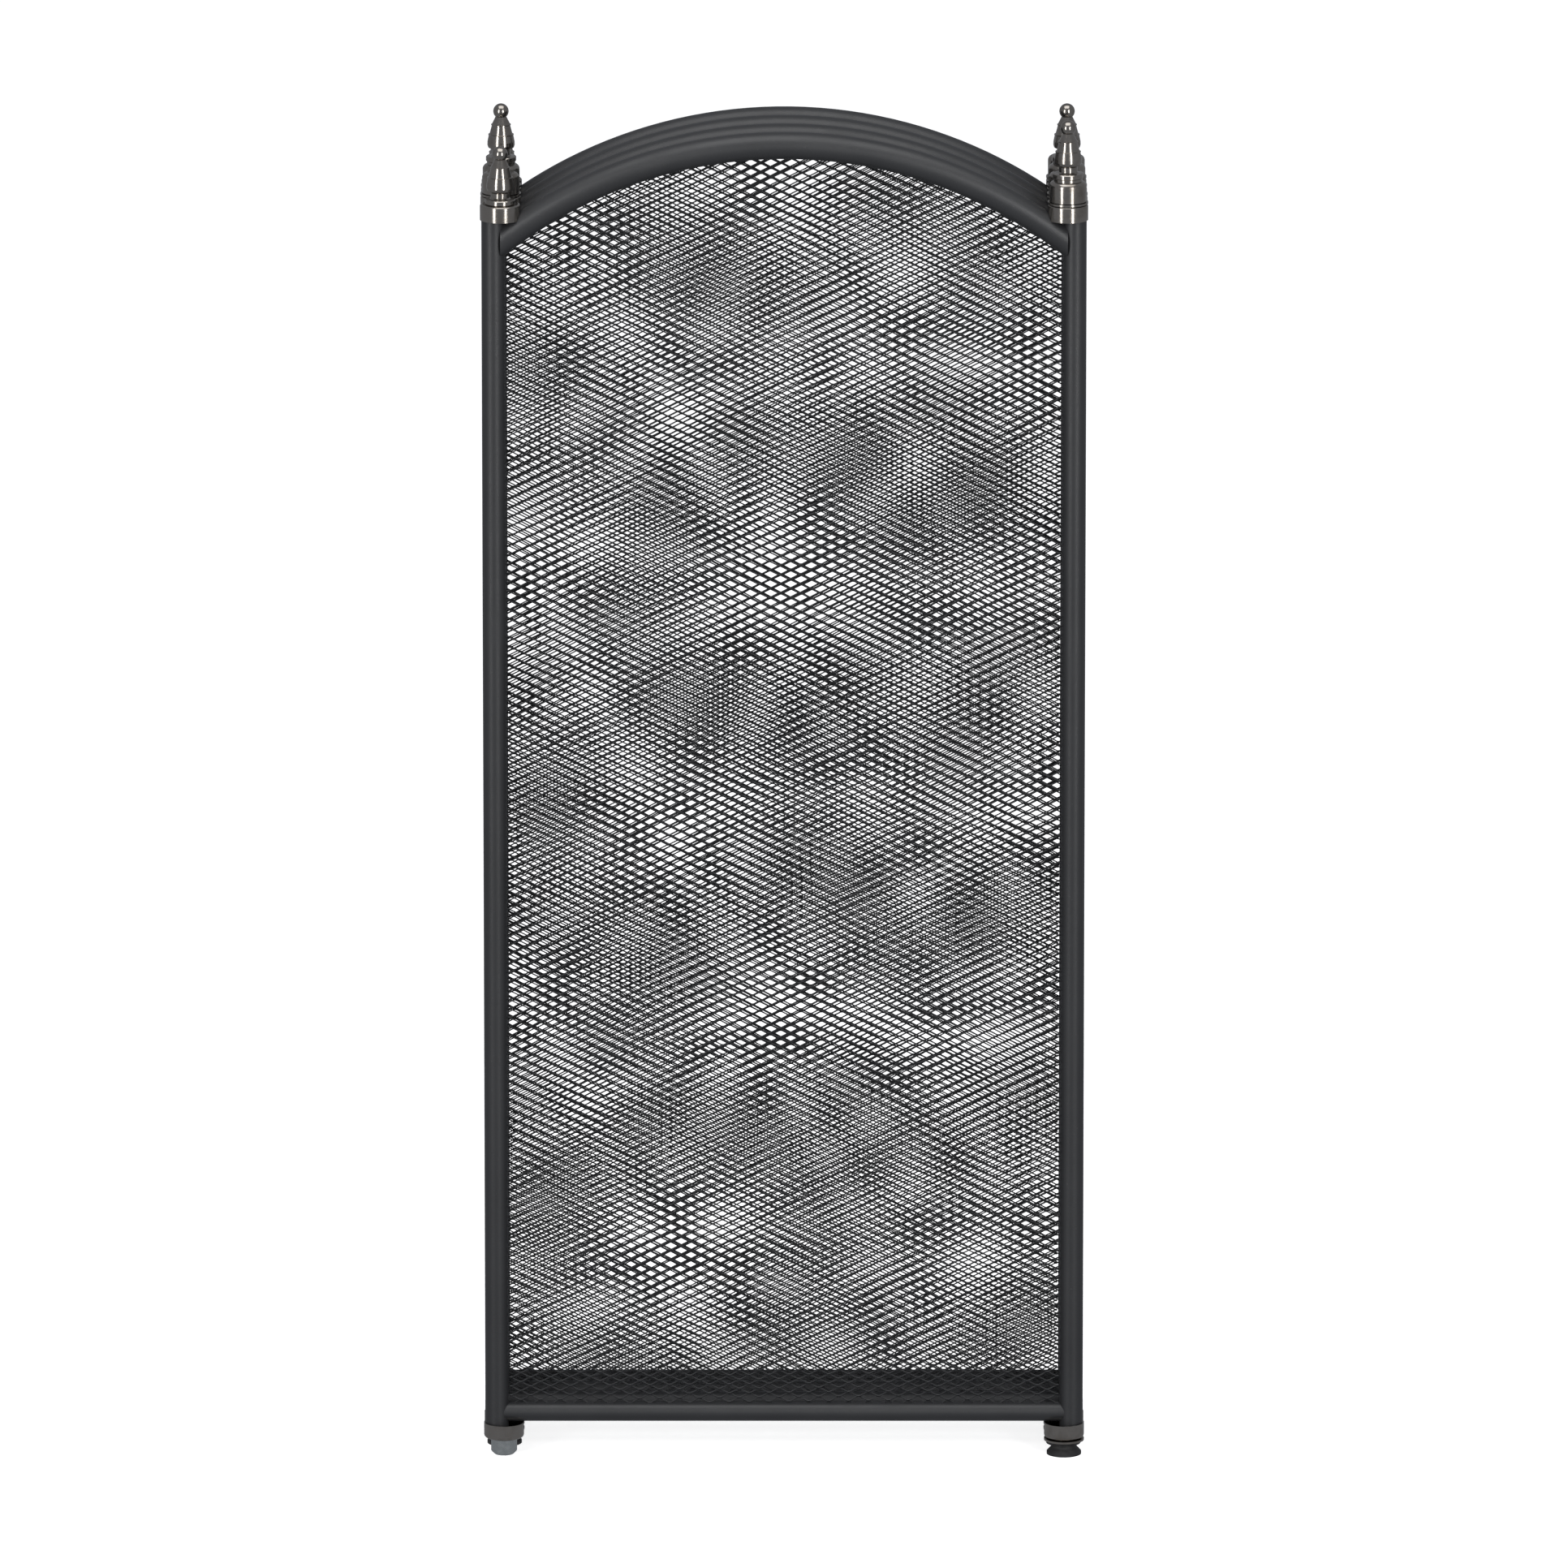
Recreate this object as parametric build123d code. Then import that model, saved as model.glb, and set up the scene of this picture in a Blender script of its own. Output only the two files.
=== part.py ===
from build123d import *
import math
import os

# Folding fireplace screen: four arched panels joined by link plates at three
# junctions, folded flat as a stack. Millimetres, +Z up, +Y away from the viewer,
# origin on the floor under the middle of the stack.

# ---- overall sizes ----
PANEL_PITCH = 24.0        # distance between neighbouring panels when folded
POST_SPACING = 332.0      # between the axes of one panel's two posts
TOP_DISC_Z = 738.5        # top face of the top cups
BOTTOM_DISC_Z = 9.8       # underside of the bottom cups

# ---- tubes ----
POST_R = 6.75
ARCH_TUBE_R = 7.8
RAIL_R = 5.5
TUBE_WALL = 0.9
ARCH_RISE = 54.0          # rise of the arch's centreline over its ends
ARCH_END_DROP = 20.0      # arch's end below the top face of the cups
RAIL_ABOVE_DISC = 15.2    # rail's axis above the underside of the bottom cups
MESH_THICKNESS = 0.8
COPE_STOP = 0.6           # the arch's ears stop this share of a post's radius inside its axis

# ---- corner cups ----
CUP_R = 11.6
CUP_WALL = 0.8
CUP_HEIGHT = 9.1
TOP_CUP_EDGE_R = 1.2
BOTTOM_CUP_EDGE_R = 2.2
NOTCH_GAP = 0.4           # room between the notched skirt and the tube it clears

# ---- studs, link plates and what sits on them ----
STUD_R = 4.0
STUD_CLEARANCE = 0.05     # radial, in the turning link plates
LINK_THICKNESS = 1.2
LINK_GAP = 0.3            # each side of a link plate
BELL_R = 10.6
BELL_HEIGHT = 11.7
BELL_WALL = 1.0
BELL_SHOULDER_R = 3.0
COLLAR_R = 8.15
COLLAR_HEIGHT = 1.6
STUD_IN_FINIAL = 10.0
STUD_IN_CAP = 8.0

# ---- turned finials ----
# radius and height of the turned finial below its ball: ring, neck, barrel, two lipped cones
FINIAL_OUTLINE = [(8.3, 0.0), (8.7, 0.4), (8.7, 2.5), (8.3, 2.9), (6.0, 3.2), (5.35, 3.8), (5.35, 6.6),
                  (5.9, 7.2), (7.4, 8.0), (7.85, 9.4), (7.8, 11.4), (7.05, 15.1), (7.3, 15.2),
                  (7.3, 15.6), (6.6, 15.8), (5.25, 20.9), (5.65, 21.0), (5.65, 21.4), (5.2, 21.6),
                  (2.8, 26.5)]
FINIAL_BALL_R = 4.45
FINIAL_BALL_Z = 29.0

# ---- what it stands on ----
FOOT_TOP_R = 6.2
FOOT_R = 10.0
FOOT_LIP = 1.6
FOOT_FLARE_R = 7.4        # where the foot's flare begins
FOOT_FLARE_DROP = 3.6     # below the foot's top
FOOT_NECK = 1.4           # straight part at the foot's top
STUD_ABOVE_FLOOR = 3.0
NUT_FLATS = 13.0
NUT_DOME = 2.0

PANELS = 4
PIVOT_X = POST_SPACING / 2 - (CUP_R - CUP_WALL - POST_R)
CUP_INNER_TOP = TOP_DISC_Z - CUP_WALL
CUP_INNER_BOTTOM = BOTTOM_DISC_Z + CUP_WALL
ARCH_END_Z = TOP_DISC_Z - ARCH_END_DROP
RAIL_Z = BOTTOM_DISC_Z + RAIL_ABOVE_DISC
HALF_SPAN = POST_SPACING / 2 - POST_R
ARCH_END_X = POST_SPACING / 2 - COPE_STOP * POST_R
ARCH_RADIUS = (HALF_SPAN ** 2 + ARCH_RISE ** 2) / (2 * ARCH_RISE)
ARCH_CENTRE_Z = ARCH_END_Z + ARCH_RISE - ARCH_RADIUS
ARCH_MARGIN = 2 * ARCH_TUBE_R     # room round the tube where the ring is cut down to the arch
SEAT_Z = TOP_DISC_Z + LINK_THICKNESS + 2 * LINK_GAP
FOOT_HEIGHT = BOTTOM_DISC_Z - LINK_THICKNESS - 2 * LINK_GAP
LEFT, RIGHT = -1, 1

os.makedirs("parts", exist_ok=True)


def panel_y(panel):
    return (panel - (PANELS + 1) / 2) * PANEL_PITCH


def rod(radius, x, y, low, high):
    return Pos(x, y, (low + high) / 2) * Cylinder(radius, high - low)


def tube_along_x(radius, y, z, length):
    return Pos(0, y, z) * Rot(0, 90, 0) * Cylinder(radius, length)


def turned(points, x, y, z):
    """A turned piece from (radius, height) points, standing at x, y, z."""
    outline = Polyline([(0, points[0][1])] + points + [(0, points[-1][1])], close=True)
    return Pos(x, y, z) * revolve(Plane.XZ * make_face(outline), Axis.Z)


def arch_bar(radius):
    """A solid bar along the arch's centreline, cut off square just inside the posts' axes."""
    ring = Pos(0, 0, ARCH_CENTRE_Z) * Rot(90, 0, 0) * Torus(ARCH_RADIUS, radius)
    low = ARCH_END_Z - ARCH_MARGIN
    high = ARCH_END_Z + ARCH_RISE + ARCH_MARGIN
    window = Pos(0, 0, (low + high) / 2) * Box(2 * ARCH_END_X, 2 * ARCH_MARGIN, high - low)
    return ring & window


def post_solids(y):
    return [rod(POST_R, side * POST_SPACING / 2, y, CUP_INNER_BOTTOM, CUP_INNER_TOP)
            for side in (LEFT, RIGHT)]


def make_post(y, side):
    x = side * POST_SPACING / 2
    outer = rod(POST_R, x, y, CUP_INNER_BOTTOM, CUP_INNER_TOP)
    return outer - rod(POST_R - TUBE_WALL, x, y, CUP_INNER_BOTTOM, CUP_INNER_TOP)


def make_arch(y):
    """A bent tube, coped to the posts at both ends."""
    arch = Pos(0, y, 0) * (arch_bar(ARCH_TUBE_R) - arch_bar(ARCH_TUBE_R - TUBE_WALL))
    for post in post_solids(y):
        arch = arch - post
    return arch


def make_rail(y):
    rail = tube_along_x(RAIL_R, y, RAIL_Z, POST_SPACING)
    rail = rail - tube_along_x(RAIL_R - TUBE_WALL, y, RAIL_Z, POST_SPACING)
    for post in post_solids(y):
        rail = rail - post
    return rail


def make_mesh(y):
    """The flat sheet that fills the frame, trimmed to the tubes it is welded to."""
    low, high = RAIL_Z, ARCH_END_Z + ARCH_RISE
    sheet = Pos(0, 0, (low + high) / 2) * Box(POST_SPACING, MESH_THICKNESS, high - low)
    disc = Pos(0, 0, ARCH_CENTRE_Z) * Rot(90, 0, 0) * Cylinder(ARCH_RADIUS, MESH_THICKNESS)
    below = Pos(0, 0, (low + ARCH_END_Z) / 2) * Box(POST_SPACING, MESH_THICKNESS, ARCH_END_Z - low)
    sheet = Pos(0, y, 0) * ((sheet & disc) + (sheet & below))
    sheet = sheet - Pos(0, y, 0) * arch_bar(ARCH_TUBE_R) - tube_along_x(RAIL_R, y, RAIL_Z, POST_SPACING)
    for post in post_solids(y):
        sheet = sheet - post
    return max(sheet.solids(), key=lambda solid: solid.volume)


def make_cup(y, side, disc_z, up):
    """A pressed cup: its disc is at disc_z and its skirt reaches over the post's end.

    up is 1 when the skirt rises from the disc and -1 when it hangs from it."""
    x = side * PIVOT_X
    edge_r = BOTTOM_CUP_EDGE_R if up > 0 else TOP_CUP_EDGE_R
    outer = fillet(Cylinder(CUP_R, CUP_HEIGHT).edges().sort_by(Axis.Z)[0], edge_r)
    inner = Pos(0, 0, CUP_WALL) * Cylinder(CUP_R - CUP_WALL, CUP_HEIGHT)
    cup = Pos(0, 0, CUP_HEIGHT / 2) * (outer - inner)
    if up < 0:
        cup = Rot(180, 0, 0) * cup
    cup = Pos(x, y, disc_z) * cup
    tube = Pos(0, y, 0) * arch_bar(ARCH_TUBE_R + NOTCH_GAP)
    rail = tube_along_x(RAIL_R + NOTCH_GAP, y, RAIL_Z, POST_SPACING)
    rail_way = Pos(0, y, RAIL_Z + CUP_HEIGHT / 2) * Box(POST_SPACING, 2 * (RAIL_R + NOTCH_GAP), CUP_HEIGHT)
    sheet_height = TOP_DISC_Z - BOTTOM_DISC_Z - 2 * BOTTOM_CUP_EDGE_R
    sheet_slot = MESH_THICKNESS + 2 * NOTCH_GAP
    sheet_way = Pos(0, y, (TOP_DISC_Z + BOTTOM_DISC_Z) / 2) * Box(2 * HALF_SPAN, sheet_slot, sheet_height)
    cup = cup - tube - rail - rail_way - sheet_way
    return max(cup.solids(), key=lambda solid: solid.volume)


def make_finial(x, y, z, stud_length):
    finial = turned(FINIAL_OUTLINE, x, y, z) + Pos(x, y, z + FINIAL_BALL_Z) * Sphere(FINIAL_BALL_R)
    return finial - rod(STUD_R, x, y, z, z + stud_length)


def make_bell(x, y, closed):
    """A hollow bell over a pivot; an open one carries a collar for its finial."""
    shell = Cylinder(BELL_R, BELL_HEIGHT)
    shell = fillet(shell.edges().sort_by(Axis.Z)[-1], BELL_SHOULDER_R)
    hollow = Pos(0, 0, -BELL_WALL) * Cylinder(BELL_R - BELL_WALL, BELL_HEIGHT)
    hollow = fillet(hollow.edges().sort_by(Axis.Z)[-1], BELL_SHOULDER_R - BELL_WALL)
    bell = Pos(x, y, SEAT_Z + BELL_HEIGHT / 2) * (shell - hollow)
    top = SEAT_Z + BELL_HEIGHT
    boss = rod(STUD_R + BELL_WALL, x, y, SEAT_Z, top - BELL_WALL / 2)
    if closed:
        return bell + boss - rod(STUD_R, x, y, SEAT_Z, SEAT_Z + STUD_IN_CAP)
    collar = rod(COLLAR_R, x, y, top - BELL_WALL / 2, top + COLLAR_HEIGHT)
    return bell + boss + collar - rod(STUD_R, x, y, SEAT_Z, top + COLLAR_HEIGHT)


def make_link(junction_y, side, low):
    """A figure-of-eight plate that turns on the studs of two neighbouring panels."""
    plate = None
    for y in (junction_y - PANEL_PITCH / 2, junction_y + PANEL_PITCH / 2):
        end = rod(CUP_R, side * PIVOT_X, y, low, low + LINK_THICKNESS)
        plate = end if plate is None else plate + end
    waist = Box(CUP_R, PANEL_PITCH, LINK_THICKNESS)
    waist = Pos(side * PIVOT_X, junction_y, low + LINK_THICKNESS / 2) * waist
    plate = plate + waist
    for y in (junction_y - PANEL_PITCH / 2, junction_y + PANEL_PITCH / 2):
        plate = plate - rod(STUD_R + STUD_CLEARANCE, side * PIVOT_X, y, low, low + LINK_THICKNESS)
    return plate


def make_foot(x, y):
    """A flared rubber foot, pushed over its stud."""
    outline = [(FOOT_R, 0), (FOOT_R, FOOT_LIP), (FOOT_FLARE_R, FOOT_HEIGHT - FOOT_FLARE_DROP),
               (FOOT_TOP_R, FOOT_HEIGHT - FOOT_NECK), (FOOT_TOP_R, FOOT_HEIGHT)]
    return turned(outline, x, y, 0) - rod(STUD_R, x, y, STUD_ABOVE_FLOOR, FOOT_HEIGHT)


def make_nut(x, y):
    """A domed hex nut, blind at the bottom."""
    nut = extrude(RegularPolygon(NUT_FLATS / 2, 6, major_radius=False), BOTTOM_DISC_Z)
    across_corners = NUT_FLATS / math.cos(math.pi / 6)
    blank = turned([(across_corners / 2 - NUT_DOME, 0), (across_corners / 2, NUT_DOME),
                    (across_corners / 2, BOTTOM_DISC_Z)], 0, 0, 0)
    return Pos(x, y, 0) * (nut & blank) - rod(STUD_R, x, y, STUD_ABOVE_FLOOR, BOTTOM_DISC_Z)


def save(name, solids):
    shape = solids[0] if len(solids) == 1 else Compound(children=list(solids))
    export_step(shape, f"parts/{name}.step")


# Each junction is (first panel, side), and its first panel is the front one.
JUNCTIONS = [(1, RIGHT), (2, LEFT), (3, RIGHT)]
linked = {(panel, side) for first, side in JUNCTIONS for panel in (first, first + 1)}
with_finial = {(1, RIGHT), (3, LEFT), (3, RIGHT)}
SIDE_NAMES = {LEFT: "left", RIGHT: "right"}

for panel in range(1, PANELS + 1):
    y = panel_y(panel)
    name = f"panel_{panel}"
    save(f"{name}_left_post", [make_post(y, LEFT)])
    save(f"{name}_right_post", [make_post(y, RIGHT)])
    save(f"{name}_arch", [make_arch(y)])
    save(f"{name}_bottom_rail", [make_rail(y)])
    save(f"{name}_mesh", [make_mesh(y)])
    save(f"{name}_top_cups", [make_cup(y, side, TOP_DISC_Z, -1) for side in (LEFT, RIGHT)])
    save(f"{name}_bottom_cups", [make_cup(y, side, BOTTOM_DISC_Z, 1) for side in (LEFT, RIGHT)])
    studs, feet = [], []
    for side in (LEFT, RIGHT):
        x = side * PIVOT_X
        stud_top = TOP_DISC_Z + STUD_IN_FINIAL
        if (panel, side) in linked:
            feet.append(make_foot(x, y))
            closed = (panel, side) not in with_finial
            save(f"{name}_{SIDE_NAMES[side]}_{'cap' if closed else 'bell'}", [make_bell(x, y, closed)])
            stud_top = SEAT_Z + STUD_IN_CAP
            if not closed:
                finial_z = SEAT_Z + BELL_HEIGHT + COLLAR_HEIGHT
                stud_top = finial_z + STUD_IN_FINIAL
                save(f"{name}_{SIDE_NAMES[side]}_finial", [make_finial(x, y, finial_z, STUD_IN_FINIAL)])
        else:
            save(f"{name}_{SIDE_NAMES[side]}_finial", [make_finial(x, y, TOP_DISC_Z, STUD_IN_FINIAL)])
            save(f"{name}_{SIDE_NAMES[side]}_nut", [make_nut(x, y)])
        studs.append(rod(STUD_R, x, y, TOP_DISC_Z, stud_top))
        studs.append(rod(STUD_R, x, y, STUD_ABOVE_FLOOR, BOTTOM_DISC_Z))
    save(f"{name}_studs", studs)
    save(f"{name}_rubber_feet", feet)

for first, side in JUNCTIONS:
    middle = (panel_y(first) + panel_y(first + 1)) / 2
    name = f"link_{first}{first + 1}"
    save(f"{name}_top_plate", [make_link(middle, side, TOP_DISC_Z + LINK_GAP)])
    save(f"{name}_bottom_plate", [make_link(middle, side, FOOT_HEIGHT + LINK_GAP)])
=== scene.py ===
import math
import bmesh
import bpy
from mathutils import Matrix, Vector


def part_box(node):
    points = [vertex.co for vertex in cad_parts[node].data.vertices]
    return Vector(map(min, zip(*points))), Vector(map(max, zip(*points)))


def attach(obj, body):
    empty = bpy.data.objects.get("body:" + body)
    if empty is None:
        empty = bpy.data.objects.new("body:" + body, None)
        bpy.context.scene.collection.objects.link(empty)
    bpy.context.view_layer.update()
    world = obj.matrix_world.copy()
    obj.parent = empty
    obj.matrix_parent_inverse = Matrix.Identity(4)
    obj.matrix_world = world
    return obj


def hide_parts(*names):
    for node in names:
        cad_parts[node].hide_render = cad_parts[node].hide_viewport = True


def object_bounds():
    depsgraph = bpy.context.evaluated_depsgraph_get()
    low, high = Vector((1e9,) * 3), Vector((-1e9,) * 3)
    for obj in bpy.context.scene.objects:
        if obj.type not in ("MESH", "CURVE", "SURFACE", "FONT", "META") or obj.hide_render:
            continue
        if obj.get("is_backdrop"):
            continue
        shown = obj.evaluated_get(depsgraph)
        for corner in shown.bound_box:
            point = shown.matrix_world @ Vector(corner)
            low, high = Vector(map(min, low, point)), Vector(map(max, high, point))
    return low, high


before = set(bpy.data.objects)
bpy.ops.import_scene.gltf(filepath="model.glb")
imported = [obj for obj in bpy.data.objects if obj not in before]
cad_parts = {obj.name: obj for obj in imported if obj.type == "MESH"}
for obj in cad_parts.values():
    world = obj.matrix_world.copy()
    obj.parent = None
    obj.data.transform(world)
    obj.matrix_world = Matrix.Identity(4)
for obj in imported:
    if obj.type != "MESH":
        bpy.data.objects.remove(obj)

cad_low, cad_high = (Vector(corner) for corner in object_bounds())
PANELS = ("panel_1", "panel_2", "panel_3", "panel_4")


# ---- Tube frames ----
# Posts, arches and bottom rails are bent and coped steel tube, welded together and
# then powder coated graphite. The coat has a fine orange peel and a few dull rubs.

class Socket:
    """A node's socket that adds Math nodes when it is used in an expression."""

    def __init__(self, tree, socket):
        self.tree, self.socket = tree, socket

    def node(self, kind, settings=None, inputs=None, output=0):
        made = self.tree.nodes.new(kind)
        for name, value in (settings or {}).items():
            setattr(made, name, value)
        for name, value in (inputs or {}).items():
            if isinstance(value, Socket):
                self.tree.links.new(value.socket, made.inputs[name])
            else:
                made.inputs[name].default_value = value
        return Socket(self.tree, made.outputs[output])

    def maths(self, operation, first, second=0.0):
        return self.node("ShaderNodeMath", {"operation": operation}, {0: first, 1: second})

    def __add__(self, other):
        return self.maths("ADD", self, other)

    def __sub__(self, other):
        return self.maths("SUBTRACT", self, other)

    def __rsub__(self, other):
        return self.maths("SUBTRACT", other, self)

    def __mul__(self, other):
        return self.maths("MULTIPLY", self, other)

    def __truediv__(self, other):
        return self.maths("DIVIDE", self, other)

    __radd__, __rmul__ = __add__, __mul__


def new_material(name):
    """A material with a Principled shader, and its Object coordinates."""
    material = bpy.data.materials.new(name)
    material.use_nodes = True
    tree = material.node_tree
    shader = tree.nodes["Principled BSDF"]
    start = Socket(tree, None)
    place = start.node("ShaderNodeTexCoord", output="Object")
    return material, shader, place


def noise(place, size, detail=2.0):
    """Noise whose patches are about size metres across."""
    return place.node("ShaderNodeTexNoise", {}, {"Vector": place, "Scale": 1 / size, "Detail": detail})


def between(mask, first, second):
    """A colour that goes from first to second as mask goes from 0 to 1."""
    return mask.node("ShaderNodeMix", {"data_type": "RGBA"}, {0: mask, 6: first, 7: second}, output=2)


def ramp(mask, low, high):
    """0 up to low and 1 past high."""
    return mask.node("ShaderNodeMapRange", {}, {"Value": mask, "From Min": low, "From Max": high})


def plug(shader, name, value):
    """Links a value to one of the shader's own sockets."""
    value.tree.links.new(value.socket, shader.inputs[name])


def bump(shader, height, depth, strength):
    """Fine relief; depth is the bump's distance in metres, and strength scales it."""
    plug(shader, "Normal", height.node("ShaderNodeBump", {}, {
        "Strength": strength, "Distance": depth, "Height": height}))


def paint(nodes, material):
    """Gives CAD nodes a material in every slot they have."""
    for name in nodes:
        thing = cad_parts[name]
        if not thing.material_slots:
            thing.data.materials.append(material)
        for place in thing.material_slots:
            place.material = material


COAT_DARK = (0.0200, 0.0206, 0.0222, 1)
COAT_LIGHT = (0.0310, 0.0317, 0.0338, 1)
COAT_DUST = (0.060, 0.061, 0.063, 1)

coat, shader, place = new_material("graphite_powder_coat")
rubs = ramp(noise(place, 0.045, 4.0), 0.56, 0.74)
specks = ramp(noise(place, 0.0016, 1.0), 0.74, 0.80)
coat_colour = between(noise(place, 0.03), COAT_DARK, COAT_LIGHT)
plug(shader, "Base Color", between(specks * 0.5, coat_colour, COAT_DUST))
plug(shader, "Roughness", 0.40 + rubs * 0.12 + noise(place, 0.004) * 0.08)
bump(shader, noise(place, 0.0011, 1.0) + noise(place, 0.004) * 0.6, 0.00012, 0.35)
shader.inputs["Metallic"].default_value = 0.0
shader.inputs["IOR"].default_value = 1.6

tube_nodes = [f"{panel}_{part}" for panel in PANELS
              for part in ("left_post", "right_post", "arch", "bottom_rail")]
paint(tube_nodes, coat)


# ---- Expanded metal ----
# One sheet of raised expanded steel fills each frame, welded to it and coated with
# it. Every strand is a wave, and neighbouring waves join at the knuckles. No two
# sheets were cut alike, so their pitch and lean differ a little.

STRAND_R = 0.00040        # half a strand's width, across its corners
STRAND_RAISE = 0.00025    # how far a knuckle stands out of the sheet's plane
KNUCKLE_SHORT = 0.7       # a knuckle's axis stops this far short of the line between rows, in STRAND_R
KNUCKLE = 0.12            # half a knuckle's length, in strands
EDGE_RUN = 0.0035         # how far the strands run on into the tubes
ARCH_RISE = 0.054         # of the arch's centreline over its ends
SPARE_STRANDS = 4         # strands past the sheet's two sides together
SPARE_ROWS = 6            # waves past the sheet's edges, so that a leaning sheet still fills them

mesh_coat, shader, place = new_material("coated_expanded_steel")
plug(shader, "Base Color", between(noise(place, 0.02), COAT_DARK, COAT_LIGHT))
plug(shader, "Roughness", 0.42 + noise(place, 0.003) * 0.12)
bump(shader, noise(place, 0.0008, 1.0), 0.00006, 0.3)


def expanded_metal_tree():
    """Waves from side to side, one above another, kept where the frame's outline is."""
    tree = bpy.data.node_groups.new("expanded_metal", "GeometryNodeTree")
    tree.interface.new_socket("Geometry", in_out="OUTPUT", socket_type="NodeSocketGeometry")
    names = ("Long pitch", "Short pitch", "Lean", "Half width", "Bottom", "First row", "Rows",
             "Arch radius", "Arch centre", "Plane", "Phase")
    for name in names:
        tree.interface.new_socket(name, in_out="INPUT", socket_type="NodeSocketFloat")
    source = tree.nodes.new("NodeGroupInput")
    value = {name: Socket(tree, source.outputs[name]) for name in names}
    start = Socket(tree, None)

    strand = value["Long pitch"] / 2
    row_gap = value["Short pitch"] / 2
    across = value["Half width"] * 2 / strand
    strands = across.maths("CEIL", across) + SPARE_STRANDS
    first_x = strands * strand * -0.5

    def vector(x, y, z):
        return start.node("ShaderNodeCombineXYZ", {}, {"X": x, "Y": y, "Z": z})

    # A row of points at unit spacing, two to a strand, and a copy of it for each row.
    wave = start.node("GeometryNodeCurvePrimitiveLine", {}, {"Start": vector(0.0, 0.0, 0.0),
                                                             "End": vector(strands * 2 - 1, 0.0, 0.0)})
    wave = start.node("GeometryNodeResampleCurve", {}, {"Curve": wave, "Count": strands * 2})
    column = start.node("GeometryNodeMeshLine", {}, {"Count": value["Rows"], "Offset": (0.0, 0.0, 1.0)})
    waves = start.node("GeometryNodeInstanceOnPoints", {}, {"Points": column, "Instance": wave})
    waves = start.node("GeometryNodeRealizeInstances", {}, {"Geometry": waves})

    here = start.node("GeometryNodeInputPosition")
    parts = here.node("ShaderNodeSeparateXYZ", {}, {"Vector": here}).socket.node
    along, up = Socket(tree, parts.outputs["X"]), Socket(tree, parts.outputs["Z"])
    count = along.maths("ROUND", along)
    row = up.maths("ROUND", up) + value["First row"]
    half_period = (count / 2).maths("FLOOR", count / 2)
    side = (count - half_period * 2) * 2 - 1
    odd = (half_period + row).maths("FLOORED_MODULO", half_period + row, 2.0)
    swing = 1 - odd * 2
    x = first_x + (half_period + side * KNUCKLE + value["Phase"]) * strand
    z = value["Bottom"] + row * row_gap + swing * (row_gap / 2 - STRAND_R * KNUCKLE_SHORT) + x * value["Lean"]
    y = value["Plane"] + swing * STRAND_RAISE
    waves = start.node("GeometryNodeSetPosition", {}, {"Geometry": waves, "Position": vector(x, y, z)})

    place = here.node("ShaderNodeSeparateXYZ", {}, {"Vector": here}).socket.node
    x, z = Socket(tree, place.outputs["X"]), Socket(tree, place.outputs["Z"])
    rise = (value["Arch radius"] * value["Arch radius"] - x * x).maths(
        "SQRT", value["Arch radius"] * value["Arch radius"] - x * x)
    outside = x.maths("ABSOLUTE", x).maths("GREATER_THAN", x.maths("ABSOLUTE", x), value["Half width"])
    outside = outside + z.maths("GREATER_THAN", z, value["Arch centre"] + rise)
    outside = outside + z.maths("LESS_THAN", z, value["Bottom"])
    gone = start.node("FunctionNodeCompare", {"data_type": "FLOAT", "operation": "GREATER_THAN"},
                      {0: outside, 1: 0.5})
    waves = start.node("GeometryNodeDeleteGeometry", {"domain": "POINT"},
                       {"Geometry": waves, "Selection": gone})
    profile = start.node("GeometryNodeCurvePrimitiveCircle", {}, {"Resolution": 4, "Radius": STRAND_R})
    solid = start.node("GeometryNodeCurveToMesh", {}, {"Curve": waves, "Profile Curve": profile,
                                                       "Fill Caps": True})
    solid = start.node("GeometryNodeRealizeInstances", {}, {"Geometry": solid})
    solid = start.node("GeometryNodeSetShadeSmooth", {}, {"Geometry": solid, "Shade Smooth": False})
    solid = start.node("GeometryNodeSetMaterial", {}, {"Geometry": solid, "Material": mesh_coat})
    tree.links.new(solid.socket, tree.nodes.new("NodeGroupOutput").inputs[0])
    return tree


def grown(tree, name, sizes):
    """The plain mesh that a tree makes with these sizes."""
    blank = bpy.data.objects.new(name + "_blank", bpy.data.meshes.new(name + "_blank"))
    bpy.context.scene.collection.objects.link(blank)
    modifier = blank.modifiers.new("grow", "NODES")
    modifier.node_group = tree
    for item in tree.interface.items_tree:
        if item.in_out == "INPUT" and item.name in sizes:
            modifier[item.identifier] = sizes[item.name]
    graph = bpy.context.evaluated_depsgraph_get()
    mesh = bpy.data.meshes.new_from_object(blank.evaluated_get(graph))
    blank.modifiers.remove(modifier)
    bpy.data.objects.remove(blank)
    piece = bpy.data.objects.new(name, mesh)
    bpy.context.scene.collection.objects.link(piece)
    return piece


# long pitch, short pitch, lean and phase of each sheet, front to back
SHEETS = {"panel_1": (0.01149, 0.00536, 0.011, 0.0), "panel_2": (0.01156, 0.00548, -0.0255, 0.37),
          "panel_3": (0.01142, 0.00561, 0.0115, 0.71), "panel_4": (0.01185, 0.00564, -0.008, 0.18)}

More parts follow.
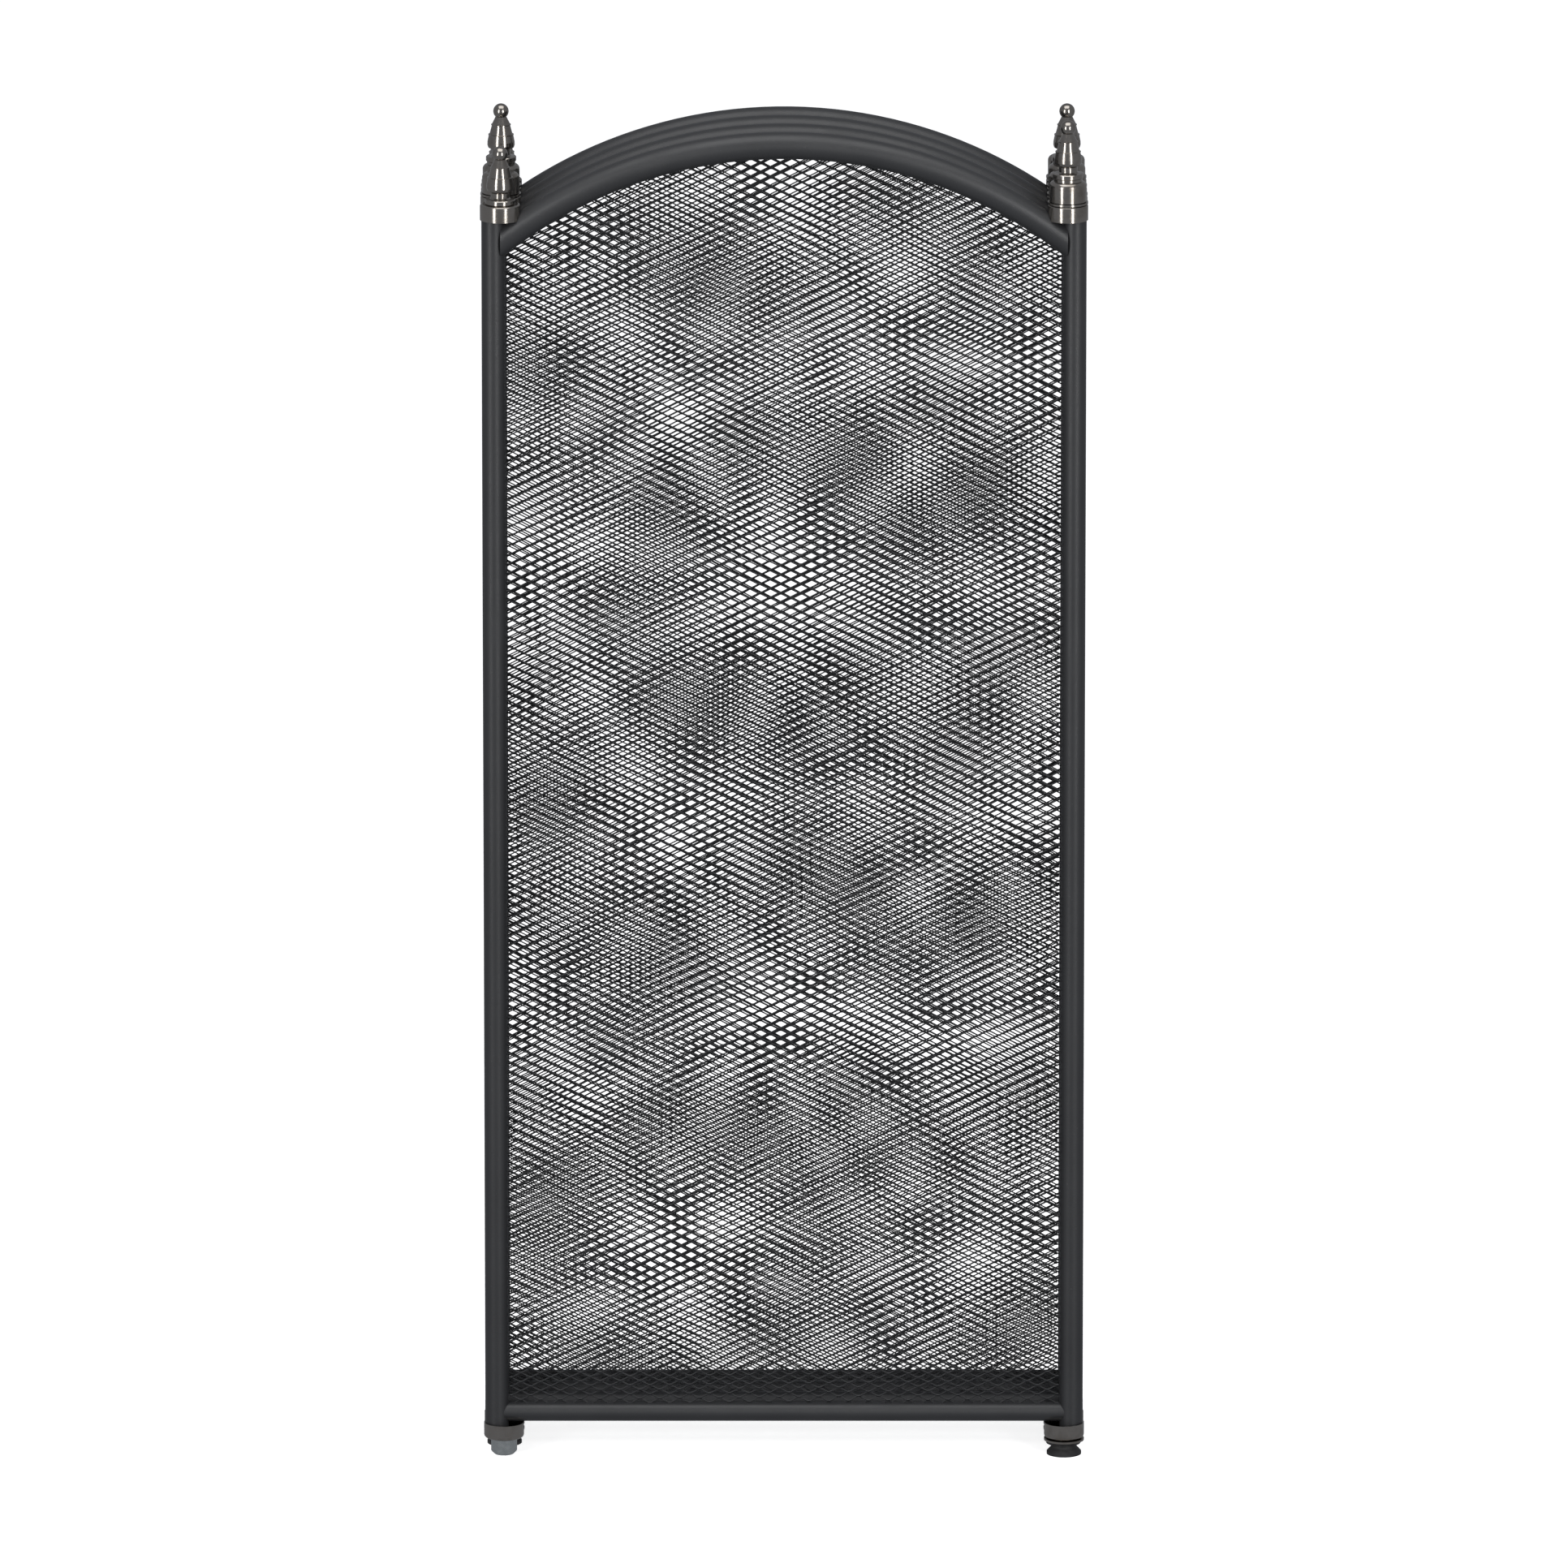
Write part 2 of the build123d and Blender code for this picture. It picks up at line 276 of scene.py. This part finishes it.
tree = expanded_metal_tree()
for panel, (long_pitch, short_pitch, lean, phase) in SHEETS.items():
    node = f"{panel}_mesh"
    low, high = (Vector(corner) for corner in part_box(node))
    arch_low, arch_high = (Vector(corner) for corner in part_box(f"{panel}_arch"))
    tube_r = (arch_high.y - arch_low.y) / 2
    crown = arch_high.z - tube_r
    # The arch's centreline is the sheet's top edge moved up by the tube's radius.
    half_span = high.x
    radius = (half_span ** 2 + ARCH_RISE ** 2) / (2 * ARCH_RISE)
    bottom = low.z - EDGE_RUN
    all_rows = 2 * math.ceil((crown - bottom) / short_pitch) + 2 * SPARE_ROWS
    half_rows = all_rows // 2
    for part, first_row in (("lower", -SPARE_ROWS), ("upper", half_rows - SPARE_ROWS)):
        piece = grown(tree, f"{panel}_expanded_{part}", {
            "Long pitch": long_pitch, "Short pitch": short_pitch, "Lean": lean, "Phase": phase,
            "Half width": half_span + EDGE_RUN, "Bottom": bottom,
            "First row": float(first_row), "Rows": float(half_rows),
            "Arch radius": radius, "Arch centre": crown - radius, "Plane": (low.y + high.y) / 2})
        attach(piece, panel)
        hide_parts(node)


# ---- Nickel-plated hardware ----
# Pressed cups, link plates, bells and turned finials in dark polished nickel. The
# turned pieces keep fine tool rings, and the plate has a faint brown bloom.

NICKEL = (0.36, 0.335, 0.305, 1)
NICKEL_BLOOM = (0.25, 0.225, 0.198, 1)

nickel, shader, place = new_material("dark_polished_nickel")
stretched = place.node("ShaderNodeMapping", {}, {"Vector": place, "Scale": (0.15, 0.15, 3.0)})
rings = noise(stretched, 0.0011, 1.0)
bloom = ramp(noise(place, 0.008, 3.0), 0.45, 0.75)
plug(shader, "Base Color", between(bloom, NICKEL, NICKEL_BLOOM))
plug(shader, "Roughness", 0.13 + bloom * 0.10 + rings * 0.06)
bump(shader, rings, 0.00004, 0.25)
shader.inputs["Metallic"].default_value = 1.0

plated = [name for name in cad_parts
          if name.endswith(("_cups", "_plate", "_bell", "_cap", "_finial"))]
paint(plated, nickel)


# ---- Nuts and studs ----
# Bright zinc-plated domed hex nuts hold the two free corners, and zinc-plated M8
# studs run up and down from the cups' discs.

ZINC_DULL = (0.46, 0.49, 0.49, 1)
ZINC_BRIGHT = (0.66, 0.69, 0.68, 1)

zinc, shader, place = new_material("bright_zinc_plate")
grain = noise(place, 0.002, 3.0)
plug(shader, "Base Color", between(grain, ZINC_DULL, ZINC_BRIGHT))
plug(shader, "Roughness", 0.20 + grain * 0.15)
bump(shader, grain, 0.00005, 0.3)
shader.inputs["Metallic"].default_value = 1.0
paint([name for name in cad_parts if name.endswith(("_nut", "_studs"))], zinc)


# ---- Rubber feet ----
# Flared black rubber feet, moulded with fine rings and a matt skin that picks up dust.

RUBBER = (0.022, 0.022, 0.023, 1)
RUBBER_DUST = (0.060, 0.058, 0.055, 1)

rubber, shader, place = new_material("black_foot_rubber")
dust = ramp(noise(place, 0.006, 4.0), 0.5, 0.8)
flattened = place.node("ShaderNodeMapping", {}, {"Vector": place, "Scale": (0.02, 0.02, 1.0)})
mould_rings = noise(flattened, 0.0009, 0.0)
plug(shader, "Base Color", between(dust, RUBBER, RUBBER_DUST))
plug(shader, "Roughness", 0.55 + dust * 0.25)
bump(shader, mould_rings, 0.0003, 0.5)
paint([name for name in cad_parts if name.endswith("_feet")], rubber)


# ---- Floor, backdrop and light ----
# A white paper floor under a white dome, two tall soft boxes in front and one broad
# light above. Neither paper lights the object or shows in its plating, and the dome
# casts no shadow.

STUDIO_R = 24.0
PAPER_LOW = (0.86, 0.86, 0.86, 1)
PAPER_HIGH = (0.88, 0.88, 0.88, 1)
PAPER_GLOW = 0.80
DOME_GLOW = 1.1
DOME_RINGS = 16
DOME_SIDES = 48


def paper(name, glow):
    """White paper that glows a little, so that it stays white behind the object."""
    material, shader, place = new_material(name)
    plug(shader, "Base Color", between(noise(place, 0.5), PAPER_LOW, PAPER_HIGH))
    shader.inputs["Roughness"].default_value = 0.9
    shader.inputs["Specular IOR Level"].default_value = 0.0
    shader.inputs["Emission Color"].default_value = (1, 1, 1, 1)
    shader.inputs["Emission Strength"].default_value = glow
    return material


def stage_piece(name, shape, material):
    """A stage object from a bmesh, smooth all over."""
    mesh = bpy.data.meshes.new(name)
    shape.to_mesh(mesh)
    shape.free()
    mesh.materials.append(material)
    mesh.shade_smooth()
    piece = bpy.data.objects.new(name, mesh)
    bpy.context.scene.collection.objects.link(piece)
    piece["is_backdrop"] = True
    return piece


shape = bmesh.new()
bmesh.ops.create_circle(shape, cap_ends=True, radius=STUDIO_R, segments=DOME_SIDES)
floor = stage_piece("floor", shape, paper("floor_paper", PAPER_GLOW))
floor.visible_diffuse = floor.visible_glossy = False

shape = bmesh.new()
bmesh.ops.create_uvsphere(shape, u_segments=DOME_SIDES, v_segments=DOME_RINGS, radius=STUDIO_R)
dome = stage_piece("dome", shape, paper("dome_paper", DOME_GLOW))
dome.visible_diffuse = dome.visible_glossy = dome.visible_shadow = False

target = (cad_low + cad_high) / 2


def soft_box(name, place, width, height, power):
    """An area light that faces the middle of the object."""
    light = bpy.data.lights.new(name, "AREA")
    light.shape, light.size, light.size_y, light.energy = "RECTANGLE", width, height, power
    lamp = bpy.data.objects.new(name, light)
    lamp.location = place
    lamp.rotation_euler = (target - Vector(place)).to_track_quat("-Z", "Y").to_euler()
    bpy.context.scene.collection.objects.link(lamp)


# place, width, height and power in watts of each light
SOFT_BOXES = {"left_box": ((-1.5, -2.1, 1.0), 0.5, 1.9, 22), "right_box": ((1.3, -2.3, 1.0), 0.5, 1.9, 24),
              "top_box": ((0.0, -0.6, 2.8), 2.4, 1.8, 26)}
for name, (place, width, height, power) in SOFT_BOXES.items():
    soft_box(name, place, width, height, power)

SKY = (0.9, 0.93, 1.0, 1)
SKY_STRENGTH = 0.27

world = bpy.data.worlds.new("studio")
world.use_nodes = True
sky = world.node_tree.nodes["Background"]
sky.inputs["Color"].default_value = SKY
sky.inputs["Strength"].default_value = SKY_STRENGTH
bpy.context.scene.world = world
bpy.context.scene.view_settings.view_transform = "Standard"


# ---- Camera ----
# A long lens in front and a little above, so that the uprights look almost parallel.

ELEVATION = math.radians(13.5)
DISTANCE = 12.0
CLIP_END = 50             # past the far side of the dome
OBJECT_SHARE = 0.872      # of the frame's height that the object fills
AIM_DROP = 0.004          # how far below the object's middle the lens points

camera_data = bpy.data.cameras.new("camera")
camera = bpy.data.objects.new("camera", camera_data)
bpy.context.scene.collection.objects.link(camera)
size = cad_high - cad_low
shown_height = size.z * math.cos(ELEVATION) + size.y * math.sin(ELEVATION)
camera_data.lens = camera_data.sensor_width * DISTANCE / (shown_height / OBJECT_SHARE)
aim = target - Vector((0, 0, AIM_DROP))
camera.location = aim + DISTANCE * Vector((0, -math.cos(ELEVATION), math.sin(ELEVATION)))
camera.rotation_euler = (aim - camera.location).to_track_quat("-Z", "Y").to_euler()
camera_data.clip_end = CLIP_END
bpy.context.scene.camera = camera
